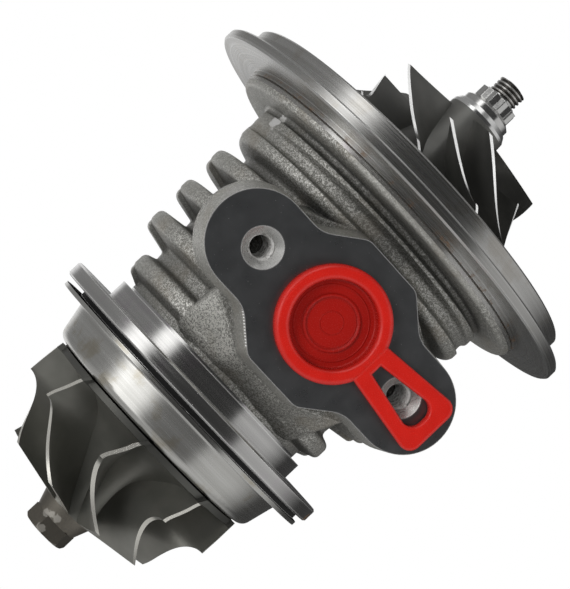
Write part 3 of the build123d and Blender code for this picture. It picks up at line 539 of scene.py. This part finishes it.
def padSurface(tree, s):
    point = useGroup(tree, shaftPosition).outputs["point"]
    cloud = noise(tree, point, s["cloud"], detail=4.0)
    specks = noise(tree, point, s["speckScale"], detail=2.0, rough=0.5)
    tone = mixColour(tree, cloud, s["dark"], s["light"])
    tone = mixColour(tree, ramp(tree, specks, *s["speckSpan"], 0.0, s["speckShare"]), tone, s["speck"])
    grain = noise(tree, point, s["grainScale"], rough=0.7)
    normal = bump(tree, grain, s["grainDepth"] * mm, s["grainStrength"])
    rough = ramp(tree, cloud, *wideSpan, s["roughLow"], s["roughHigh"])
    return metal(tree, tone, rough, normal, metallic=s["metallic"])


def holeMask(tree, at, s):
    y, z = at.outputs["y"], at.outputs["z"]
    along = math2(tree, "SUBTRACT", at.outputs["x"], s["x"])
    across = math2(tree, "SUBTRACT", math2(tree, "ABSOLUTE", y), s["boltY"])
    bolts = product(
        tree,
        step(tree, length2(tree, across, along), s["boltRadius"], -s["boltFade"]),
        step(tree, z, s["boltBottom"], -s["bottomFade"]),
    )
    inlet = product(
        tree,
        ramp(tree, length2(tree, y, along), s["inletRadius"] + s["inletFade"], s["inletRadius"]),
        step(tree, z, s["inletBottom"], s["inletFade"]),
    )
    return larger(tree, bolts, inlet)


def tickMask(tree, at, s, padFace):
    x, y, z = (at.outputs[k] for k in ("x", "y", "z"))
    wave = math2(tree, "SINE", product(tree, y, 2 * math.pi / s["pitch"]))
    return product(
        tree,
        ramp(tree, wave, *s["wave"]),
        step(tree, x, s["x"], -s["xFade"]),
        step(tree, y, s["from"], s["fade"]),
        step(tree, y, s["to"], -s["fade"]),
        ramp(tree, z, *(padFace + height for height in s["height"])),
    )


def makeHousing(s):
    material, tree, out = startMaterial("castHousing")
    at = useGroup(tree, shaftPosition)
    x, z, radius, point = (at.outputs[k] for k in ("x", "z", "radius", "point"))
    padFace, inletFace = s["faces"]["pad"], s["faces"]["inlet"]
    onFace = larger(
        tree,
        step(tree, z, padFace, -s["faces"]["fade"]),
        step(tree, z, inletFace, s["faces"]["fade"]),
    )
    surface = mixShaders(tree, onFace, castSurface(tree, s["cast"]), padSurface(tree, s["pad"]))

    turned = turnedSteel(tree, s["turned"])
    onNeck = step(tree, x, s["neck"]["end"], -s["neck"]["fade"])
    surface = mixShaders(tree, onNeck, surface, turned)
    # painted shade: the housing behind the heat shield, with the ring set there, is coloured near-black
    behindShield = step(tree, x, s["neck"]["turbineFace"], -s["neck"]["fade"])
    surface = mixShaders(tree, behindShield, surface, plainMetal(tree, shieldSteel["gapShade"]))
    onRim = product(
        tree,
        step(tree, x, s["rim"]["from"], s["rim"]["fromFade"]),
        step(tree, radius, s["rim"]["radius"], s["rim"]["radiusFade"]),
        s["rim"]["share"],
    )
    surface = mixShaders(tree, onRim, surface, turned)

    stain, holes = s["stain"], s["holes"]
    stained = product(tree, spotMask(tree, point, stain["place"], stain["reach"]), stain["share"])
    surface = mixShaders(tree, stained, surface, plainMetal(tree, stain))
    streak = ramp(tree, noise(tree, point, holes["streak"]), *midSpan, *holes["rough"])
    chamfer = metal(tree, holes["colour"], streak, metallic=holes["metallic"])
    surface = mixShaders(tree, holeMask(tree, at, holes), surface, chamfer)

    # edges painted bright near the pad and inlet faces and on the neck: partly wear, partly painted
    # highlight
    nearFace = larger(
        tree,
        ramp(tree, z, *(padFace + band for band in s["faces"]["band"])),
        ramp(tree, z, *(inletFace - band for band in s["faces"]["band"])),
    )
    bright = plainMetal(tree, s["wearAndEdgeHighlight"])
    edge = useGroup(tree, roundedEdge, radius=s["wearAndEdgeHighlight"]["radius"] * mm).outputs["edge"]
    wearAndEdgeHighlight = product(tree, edge, larger(tree, nearFace, onNeck), s["wearAndEdgeHighlight"]["share"])
    surface = mixShaders(tree, wearAndEdgeHighlight, surface, bright)
    ticks = product(tree, tickMask(tree, at, s["ticks"], padFace), rest(tree, onFace))
    surface = mixShaders(tree, ticks, surface, plainMetal(tree, s["ticks"]))
    surface = mixShaders(tree, spotMask(tree, point, **s["chip"]), surface, bright)
    feed(tree, out.inputs["Surface"], surface)
    return material


# Wheels: satin cast blades with bright edges, machined and partly painted highlight, and a machined nose

wheelSettings = {
    "both": {
        "cloud": 0.10, "cloudSpan": (0.35, 0.7), "grain": 7.0, "grainDepth": 0.012, "grainStrength": 0.5,
        "outward": (0.55, 0.75), "facing": (0.86, 0.94), "fade": 0.05, "faceFade": 0.1, "hubFade": 0.2,
        "edgeRough": 0.26, "discRough": 0.45,
    },
    "turbine": {
        "body": (0.205, 0.205, 0.183, 1), "pale": (0.26, 0.255, 0.23, 1),
        "roughLow": 0.36, "roughHigh": 0.46, "metallic": 0.85,
        "edge": (0.62, 0.605, 0.555, 1), "edgeMetallic": 0.75, "tipRadius": 18.8, "hubRadius": 7.2,
        "faceSide": -1.0, "faceX": -80.0, "disc": (0.12, 0.12, 0.11, 1), "discX": -69.3,
        "nose": (0.24, 0.22, 0.185, 1), "noseDark": (0.15, 0.14, 0.12, 1), "noseRough": (0.40, 0.55),
        "noseX": -90.2,
        "ground": {
            "places": ((-92.4, -1.2, -4.9), (-92.6, -2.2, -4.4), (-93.3, -3.1, -3.7), (-96.2, -2.0, -4.5)),
            "reach": 1.0, "colour": (0.30, 0.285, 0.255, 1), "rough": 0.42, "metallic": 0.7,
        },
    },
    "compressor": {
        "body": (0.16, 0.16, 0.15, 1), "pale": (0.21, 0.208, 0.195, 1),
        "roughLow": 0.42, "roughHigh": 0.50, "metallic": 0.82,
        "edge": (0.95, 0.95, 0.94, 1), "edgeMetallic": 0.35, "tipRadius": 19.9, "hubRadius": 7.4,
        "faceSide": 1.0, "faceX": 14.0, "disc": (0.30, 0.30, 0.295, 1), "discX": 4.3,
        "nose": (0.86, 0.86, 0.85, 1), "noseDark": (0.72, 0.72, 0.71, 1), "noseRough": (0.16, 0.26),
        "noseX": 24.2,
    },
}


def makeWheel(name, s, both):
    material, tree, out = startMaterial(name)
    at = useGroup(tree, shaftPosition)
    x, radius, point = (at.outputs[k] for k in ("x", "radius", "point"))
    cloud = noise(tree, point, both["cloud"], rough=0.5)
    grain = noise(tree, point, both["grain"], detail=2.0)
    tone = mixColour(tree, ramp(tree, cloud, *both["cloudSpan"]), s["body"], s["pale"])
    rough = ramp(tree, grain, *wideSpan, s["roughLow"], s["roughHigh"])
    grainNormal = bump(tree, grain, both["grainDepth"] * mm, both["grainStrength"])
    body = metal(tree, tone, rough, grainNormal, metallic=s["metallic"])

    def beyond(limit, width):
        return ramp(tree, product(tree, math2(tree, "SUBTRACT", x, limit), s["faceSide"]), 0.0, width)

    normal = addNode(tree, "ShaderNodeTexCoord").outputs["Normal"]
    spoke = addNode(tree, "ShaderNodeCombineXYZ")
    feed(tree, spoke.inputs[1], math2(tree, "DIVIDE", at.outputs["y"], radius))
    feed(tree, spoke.inputs[2], math2(tree, "DIVIDE", at.outputs["z"], radius))
    tips = product(
        tree,
        ramp(tree, dotProduct(tree, normal, spoke.outputs[0]), *both["outward"]),
        step(tree, radius, s["tipRadius"], both["fade"]),
        beyond(s["discX"], both["fade"]),
    )
    ahead = product(tree, splitVector(tree, normal)[0], s["faceSide"])
    leading = product(
        tree,
        ramp(tree, ahead, *both["facing"]),
        beyond(s["faceX"], both["faceFade"]),
        step(tree, radius, s["hubRadius"], both["hubFade"]),
    )
    disc = metal(tree, s["disc"], both["discRough"], metallic=s["metallic"])
    surface = mixShaders(tree, rest(tree, beyond(s["discX"], both["fade"])), body, disc)
    # bright blade edges and leading faces: machined metal, partly painted highlight
    bright = metal(tree, s["edge"], both["edgeRough"], metallic=s["edgeMetallic"])
    surface = mixShaders(tree, larger(tree, tips, leading), surface, bright)
    noseTone = mixColour(tree, ramp(tree, grain, *midSpan), s["nose"], s["noseDark"])
    nose = metal(tree, noseTone, ramp(tree, cloud, *wideSpan, *s["noseRough"]))
    surface = mixShaders(tree, beyond(s["noseX"], both["fade"]), surface, nose)
    if "ground" in s:
        patch = plainMetal(tree, s["ground"])
        for place in s["ground"]["places"]:
            surface = mixShaders(tree, spotMask(tree, point, place, s["ground"]["reach"]), surface, patch)
    feed(tree, out.inputs["Surface"], surface)
    return material


# Transport cap: red plastic, with plain rings in its floor and painted shade in its recess

capSettings = {
    "centreX": -28.4, "shade": (0.36, 0.008, 0.005, 1), "light": (0.46, 0.013, 0.008, 1),
    "cloud": 0.3, "fine": 5.0,
    # painted shade: the recess inside the lip is given a darker red
    "recess": (0.235, 0.006, 0.004, 1), "recessRadius": 8.3, "recessFade": (0.5, -0.3), "recessShare": 0.85,
    "rings": ((7.1, 0.16), (4.6, 0.14), (2.2, 0.14)),  # radius and half width of each
    "ringTop": 0.4, "ringHeight": 0.16, "ringStrength": 0.8,
    "floor": (-40.6, -40.0), "floorReach": (8.0, 7.9), "edgeRadius": 0.6, "rough": (0.22, 0.28),
    "subsurface": 0.15, "subsurfaceRadius": (1.2, 0.15, 0.1),
}


def makeCap(s):
    material, tree, out = startMaterial("redPlastic")
    at = useGroup(tree, shaftPosition)
    reach = length2(tree, math2(tree, "SUBTRACT", at.outputs["x"], s["centreX"]), at.outputs["y"])
    relief = 0.0
    for radius, width in s["rings"]:
        distance = math2(tree, "ABSOLUTE", math2(tree, "SUBTRACT", reach, radius))
        relief = math2(tree, "ADD", ramp(tree, distance, width, width * s["ringTop"]), relief)
    inFloor = product(tree, ramp(tree, at.outputs["z"], *s["floor"]), ramp(tree, reach, *s["floorReach"]))
    cloud = noise(tree, at.outputs["point"], s["cloud"], rough=0.5)
    tone = mixColour(tree, cloud, s["shade"], s["light"])
    # painted shade: darker red inside the recess
    wall = (s["recessRadius"] + fade for fade in s["recessFade"])
    tone = mixColour(tree, ramp(tree, reach, *wall, 0.0, s["recessShare"]), tone, s["recess"])
    rounded = useGroup(tree, roundedEdge, radius=s["edgeRadius"] * mm).outputs["normal"]
    normal = bump(tree, product(tree, relief, inFloor), s["ringHeight"] * mm, s["ringStrength"], rounded)
    fine = noise(tree, at.outputs["point"], s["fine"], detail=2.0, rough=0.5)
    shader = addNode(tree, "ShaderNodeBsdfPrincipled")
    feed(tree, shader.inputs["Base Color"], tone)
    feed(tree, shader.inputs["Roughness"], ramp(tree, fine, *wideSpan, *s["rough"]))
    shader.inputs["Subsurface Weight"].default_value = s["subsurface"]
    shader.inputs["Subsurface Radius"].default_value = [radius * mm for radius in s["subsurfaceRadius"]]
    shader.inputs["Subsurface Scale"].default_value = 1.0
    feed(tree, shader.inputs["Normal"], normal)
    feed(tree, out.inputs["Surface"], shader.outputs[0])
    return material


# Bright steel of the nut and the screws, and the steels of the threads

chromeSettings = {
    "scale": 0.9, "dull": (0.58, 0.575, 0.565, 1), "bright": (0.72, 0.715, 0.70, 1),
    "rough": (0.16, 0.24), "metallic": 1.0, "edgeRadius": 0.3,
}
threadSettings = {
    "scale": 1.2, "span": midSpan, "dull": (0.55, 0.54, 0.52, 1), "bright": (0.85, 0.84, 0.82, 1),
    "rough": (0.24, 0.38), "metallic": 0.55,
}
shaftThreadSettings = {
    "scale": 1.6, "span": midSpan, "dull": (0.40, 0.39, 0.37, 1), "bright": (0.66, 0.65, 0.63, 1),
    "rough": (0.26, 0.36), "metallic": 0.9,
    # painted shade: the thread's roots are coloured near-black
    "rootShade": {"colour": (0.06, 0.055, 0.05, 1), "root": 3.02, "crest": 3.22},
}


def makeBright(name, s):
    material, tree, out = startMaterial(name)
    at = useGroup(tree, shaftPosition)
    cloud = noise(tree, at.outputs["point"], s["scale"])
    share = ramp(tree, cloud, *s["span"]) if "span" in s else cloud
    tone = mixColour(tree, share, s["dull"], s["bright"])
    # painted shade: near-black towards the thread's root radius
    if "rootShade" in s:
        outsideRootShade = ramp(tree, at.outputs["radius"], s["rootShade"]["root"], s["rootShade"]["crest"])
        tone = mixColour(tree, outsideRootShade, s["rootShade"]["colour"], tone)
    normal = None
    if "edgeRadius" in s:
        normal = useGroup(tree, roundedEdge, radius=s["edgeRadius"] * mm).outputs["normal"]
    rough = ramp(tree, cloud, *wideSpan, *s["rough"])
    feed(tree, out.inputs["Surface"], metal(tree, tone, rough, normal, metallic=s["metallic"]))
    return material


rubberSettings = {
    "colour": (0.02, 0.02, 0.02, 1), "rough": (0.5, 0.7),
    "grain": 4.0, "grainDepth": 0.02, "grainStrength": 0.5,
}


def makeRubber(s):
    material, tree, out = startMaterial("sealRubber")
    grain = noise(tree, useGroup(tree, shaftPosition).outputs["point"], s["grain"])
    shader = addNode(tree, "ShaderNodeBsdfPrincipled")
    shader.inputs["Base Color"].default_value = s["colour"]
    feed(tree, shader.inputs["Roughness"], ramp(tree, grain, *wideSpan, *s["rough"]))
    feed(tree, shader.inputs["Normal"], bump(tree, grain, s["grainDepth"] * mm, s["grainStrength"]))
    feed(tree, out.inputs["Surface"], shader.outputs[0])
    return material


castHousing = makeHousing(housingSettings)
plateTurned = makeTurned("turnedPlate", plateSteel)
shieldSheet = makeTurned("shieldSheet", shieldSteel)
groundShaft = makeTurned("groundShaft", shaftSteel)
bronze = makeTurned("turnedBronze", bronzeMetal)
darkSpring = makeTurned("darkSpring", springSteel)
turbineAlloy = makeWheel("turbineAlloy", wheelSettings["turbine"], wheelSettings["both"])
wheelAluminium = makeWheel("wheelAluminium", wheelSettings["compressor"], wheelSettings["both"])
redPlastic = makeCap(capSettings)
brightSteel = makeBright("brightSteel", chromeSettings)
threadSteel = makeBright("threadSteel", threadSettings)
threadedEnd = makeBright("shaftThreadSteel", shaftThreadSettings)
sealRubber = makeRubber(rubberSettings)

finishes = {
    "centre_housing": castHousing,
    "back_plate": plateTurned,
    "back_plate_screws": brightSteel,
    "back_plate_seal": sealRubber,
    "thrust_bearing": bronze,
    "thrust_bearing_pins": darkSpring,
    "oil_deflector": shieldSheet,
    "heat_shield": shieldSheet,
    "turbine_seal_ring": darkSpring,
    "compressor_seal_ring": darkSpring,
    "turbine_bearing_circlips": darkSpring,
    "compressor_bearing_circlips": darkSpring,
    "turbine_journal_bearing": bronze,
    "compressor_journal_bearing": bronze,
    "turbine_wheel": turbineAlloy,
    "rotor_shaft": groundShaft,
    "thrust_washer": groundShaft,
    "thrust_collar": groundShaft,
    "oil_flinger": groundShaft,
    "compressor_wheel": wheelAluminium,
    "shaft_nut": brightSteel,
    "drain_cap": redPlastic,
}


def dress(name, material):
    slots = nodes[name].material_slots
    for slot in slots:
        slot.material = material
    if not slots:
        nodes[name].data.materials.append(material)


for name, material in finishes.items():
    dress(name, material)
print("materials ready")


# A ring on the housing, set in the gap behind the heat shield's cup; the housing's material colours it
# near-black there, as painted shade

shadeRingBehindShield = {
    "inner": 24.0, "outer": 27.4, "rim": 31.1, "lean": 1.5,
    "from": -59.3, "step": -58.72, "to": -57.45, "edge": 0.2, "steps": 128,
}


def makeObject(name, work, material):
    mesh = bpy.data.meshes.new(name)
    bmesh.ops.recalc_face_normals(work, faces=work.faces)
    work.to_mesh(mesh)
    work.free()
    mesh.materials.append(material)
    made = bpy.data.objects.new(name, mesh)
    bpy.context.scene.collection.objects.link(made)
    return made


def makeShadeRing(s):
    work = bmesh.new()
    profile = (  # place along the shaft, radius, and how far that ring leans towards +Y
        (s["to"], s["inner"], 0), (s["from"], s["inner"], 0), (s["from"], s["outer"] - s["edge"], 0),
        (s["from"] + s["edge"], s["outer"], 0), (s["step"], s["outer"], 0),
        (s["step"], s["rim"], s["lean"]), (s["to"], s["rim"], s["lean"]),
    )
    rings = []
    for index in range(s["steps"]):
        angle = 2 * math.pi * index / s["steps"]
        rings.append([
            work.verts.new((x * mm, (r * math.cos(angle) + lean) * mm, r * mm * math.sin(angle)))
            for x, r, lean in profile
        ])
    for index, a in enumerate(rings):
        b = rings[(index + 1) % s["steps"]]
        for k in range(len(profile)):
            work.faces.new((a[k], a[(k + 1) % len(profile)], b[(k + 1) % len(profile)], b[k]))
    return makeObject("shadeRingBehindShield", work, castHousing)


shadeRing = makeShadeRing(shadeRingBehindShield)
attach(shadeRing, "housing")
print("shield seat ready")


# Threads: turns that stand on the shaft's end, and turns that line the tapped holes

# one turn's outline: share of the pitch, and whether it lies at the root or the crest
threadFlanks = ((0.0, "root"), (0.18, "root"), (0.42, "crest"), (0.58, "crest"), (0.82, "root"))
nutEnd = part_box("shaft_nut")[1].x
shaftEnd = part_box("rotor_shaft")[1].x
shaftThread = {"pitch": 0.95, "root": 2.92, "crest": 3.3, "steps": 48, "plainEnd": 0.35}
shaftThread["length"] = (shaftEnd - nutEnd) / mm - shaftThread["plainEnd"]
boltThread = {
    "pitch": 1.0, "root": 2.49, "crest": 2.12, "steps": 48, "length": 11.0, "start": -38.5, "turn": -90,
}
inletThread = {
    "pitch": 1.0, "root": 4.49, "crest": 4.02, "steps": 64, "length": 8.6, "start": 33.5, "turn": 90,
}


def makeThread(name, s, material):
    work = bmesh.new()
    rings = []
    for index in range(int(s["length"] / s["pitch"] * s["steps"]) + 1):
        angle = 2 * math.pi * index / s["steps"]
        start = s["pitch"] * index / s["steps"]
        ring = []
        for share, level in threadFlanks:
            along = min(start + share * s["pitch"], s["length"])
            radius = s[level] * mm
            ring.append(work.verts.new((along * mm, radius * math.cos(angle), radius * math.sin(angle))))
        rings.append(ring)
    for a, b in zip(rings, rings[1:]):
        for k in range(len(threadFlanks) - 1):
            work.faces.new((a[k], a[k + 1], b[k + 1], b[k]))
    nextTurn = rings[s["steps"]:]
    for a, b, c, d in zip(rings, rings[1:], nextTurn, nextTurn[1:]):
        work.faces.new((a[-1], c[0], d[0], b[-1]))
    thread = makeObject(name, work, material)
    for face in thread.data.polygons:
        face.use_smooth = True
    return thread


thread = makeThread("shaftThread", shaftThread, threadedEnd)
thread.location = (nutEnd, 0, 0)
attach(thread, "rotor")

holes = housingSettings["holes"]
tapped = (
    ("upperBoltThread", boltThread, -holes["boltY"]),
    ("lowerBoltThread", boltThread, holes["boltY"]),
    ("inletThread", inletThread, 0.0),
)
for name, settings, y in tapped:
    piece = makeThread(name, settings, threadSteel)
    place = Matrix.Translation(Vector((holes["x"], y, settings["start"])) * mm)
    piece.matrix_world = place @ Matrix.Rotation(math.radians(settings["turn"]), 4, "Y")
    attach(piece, "housing")
print("threads ready")


# Studio: soft light by direction, a pale floor seen only from above

lightSettings = {
    "panels": {  # angles about the shaft, in degrees: 90 is above the installed cartridge, 270 is below it
        "paper": {"from": 86.5, "to": 97, "soft": 7, "softEnd": 26, "level": 0.90,
                  "low": (-0.80, -0.60), "high": (0.60, 0.40)},
        "ceiling": {"from": 100, "to": 200, "soft": 20, "softEnd": 14, "level": 0.27},
        "key": {"from": 204, "to": 212, "soft": 13, "softEnd": 13, "level": 1.9,
                "low": (-0.80, -0.60), "high": (0.90, 0.70)},
        "turbineKey": {"from": 212, "to": 230, "soft": 12, "softEnd": 20, "level": 1.6,
                       "low": (-0.85, -0.65), "high": (-0.15, -0.42)},
        "window": {"from": 304, "to": 342, "soft": 5, "softEnd": 50, "level": 0.60},
        "compressorLight": {"from": 155, "to": 215, "soft": 25, "softEnd": 25, "level": 1.2,
                            "low": (0.86, 0.93)},
    },
    "ends": {
        "turbineEnd": {"x": (-0.30, -0.70), "level": 0.44},
        "compressorEnd": {"x": (0.50, 0.85), "level": 0.22},
    },
    "dark": 0.055,
    "white": 1.0,
}


def panelLight(tree, x, turn, panel):
    middle = (panel["from"] + panel["to"]) / 2
    half = (panel["to"] - panel["from"]) / 2
    offset = addNode(tree, "ShaderNodeMath", operation="WRAP")
    feed(tree, offset.inputs[0], math2(tree, "SUBTRACT", turn, middle))
    offset.inputs[1].default_value = 180.0
    offset.inputs[2].default_value = -180.0
    shape = product(
        tree,
        ramp(tree, offset.outputs[0], -half - panel["soft"], -half),
        ramp(tree, offset.outputs[0], half + panel["softEnd"], half),
    )
    for limit in ("low", "high"):
        if limit in panel:
            shape = product(tree, shape, ramp(tree, x, *panel[limit]))
    return product(tree, shape, panel["level"])


def background(tree, strength):
    node = addNode(tree, "ShaderNodeBackground")
    node.inputs["Color"].default_value = (1, 1, 1, 1)
    feed(tree, node.inputs["Strength"], strength)
    return node.outputs[0]


def makeWorld(s):
    world = bpy.data.worlds.new("studio")
    bpy.context.scene.world = world
    world.use_nodes = True
    tree = world.node_tree
    tree.nodes.clear()
    x, y, z = splitVector(tree, addNode(tree, "ShaderNodeTexCoord").outputs["Generated"])
    turn = math2(tree, "DIVIDE", math2(tree, "ARCTAN2", z, y), math.radians(1.0))
    level = s["dark"]
    for panel in s["panels"].values():
        level = larger(tree, panelLight(tree, x, turn, panel), level)
    for end in s["ends"].values():
        level = larger(tree, ramp(tree, x, *end["x"], 0.0, end["level"]), level)
    seen = addNode(tree, "ShaderNodeLightPath").outputs["Is Camera Ray"]
    out = addNode(tree, "ShaderNodeOutputWorld")
    surface = mixShaders(tree, seen, background(tree, level), background(tree, s["white"]))
    feed(tree, out.inputs["Surface"], surface)


studioCentre = Vector((-0.03, 0, 0))  # near the cartridge's middle, in metres
lampSettings = (  # angles as above, the rest in metres and watts
    {"name": "keyLamp", "angle": 226.0, "x": -0.26, "distance": 0.9, "size": 0.40, "power": 5.6},
    {"name": "frontLamp", "angle": 258.0, "x": -0.05, "distance": 0.9, "size": 0.25, "power": 2.0},
    {"name": "fillLamp", "angle": 325.0, "x": 0.15, "distance": 0.9, "size": 0.5, "power": 4.0},
    {"name": "topLamp", "angle": 100.0, "x": 0.05, "distance": 0.9, "size": 0.5, "power": 5.0},
)


def makeLamp(s):
    data = bpy.data.lights.new(s["name"], "AREA")
    data.shape = "DISK"
    data.size = s["size"]
    data.energy = s["power"]
    lamp = bpy.data.objects.new(s["name"], data)
    bpy.context.scene.collection.objects.link(lamp)
    angle = math.radians(s["angle"])
    place = Vector((s["x"], s["distance"] * math.cos(angle), s["distance"] * math.sin(angle)))
    lamp.location = place
    lamp.rotation_euler = (studioCentre - place).to_track_quat("-Z", "Y").to_euler()
    lamp.visible_glossy = False


floorSettings = {
    "colour": (0.80, 0.80, 0.80, 1), "rough": 0.9, "radius": 1.6, "sides": 96, "fade": (0.25, 1.3),
    "gap": 0.0002,
}


def makeFloor(s):
    mesh = bpy.data.meshes.new("floor")
    work = bmesh.new()
    bmesh.ops.create_circle(work, cap_ends=True, segments=s["sides"], radius=s["radius"])
    work.to_mesh(mesh)
    work.free()
    floor = bpy.data.objects.new("floor", mesh)
    floor.location = (studioCentre.x, 0, cadBounds[0][2] - s["gap"])
    bpy.context.scene.collection.objects.link(floor)
    material, tree, out = startMaterial("floorPaper")
    shader = addNode(tree, "ShaderNodeBsdfPrincipled")
    shader.inputs["Base Color"].default_value = s["colour"]
    shader.inputs["Roughness"].default_value = s["rough"]
    clear = addNode(tree, "ShaderNodeBsdfTransparent")
    below = addNode(tree, "ShaderNodeNewGeometry").outputs["Backfacing"]
    reach = addNode(tree, "ShaderNodeVectorMath", operation="LENGTH")
    feed(tree, reach.inputs[0], addNode(tree, "ShaderNodeTexCoord").outputs["Object"])
    faded = larger(tree, below, ramp(tree, reach.outputs["Value"], *s["fade"]))
    feed(tree, out.inputs["Surface"], mixShaders(tree, faded, shader.outputs[0], clear.outputs[0]))
    mesh.materials.append(material)
    floor.visible_diffuse = False
    floor.visible_glossy = False
    floor.visible_shadow = False
    floor.visible_transmission = False


makeWorld(lightSettings)
for settings in lampSettings:
    makeLamp(settings)
makeFloor(floorSettings)
print("studio ready")
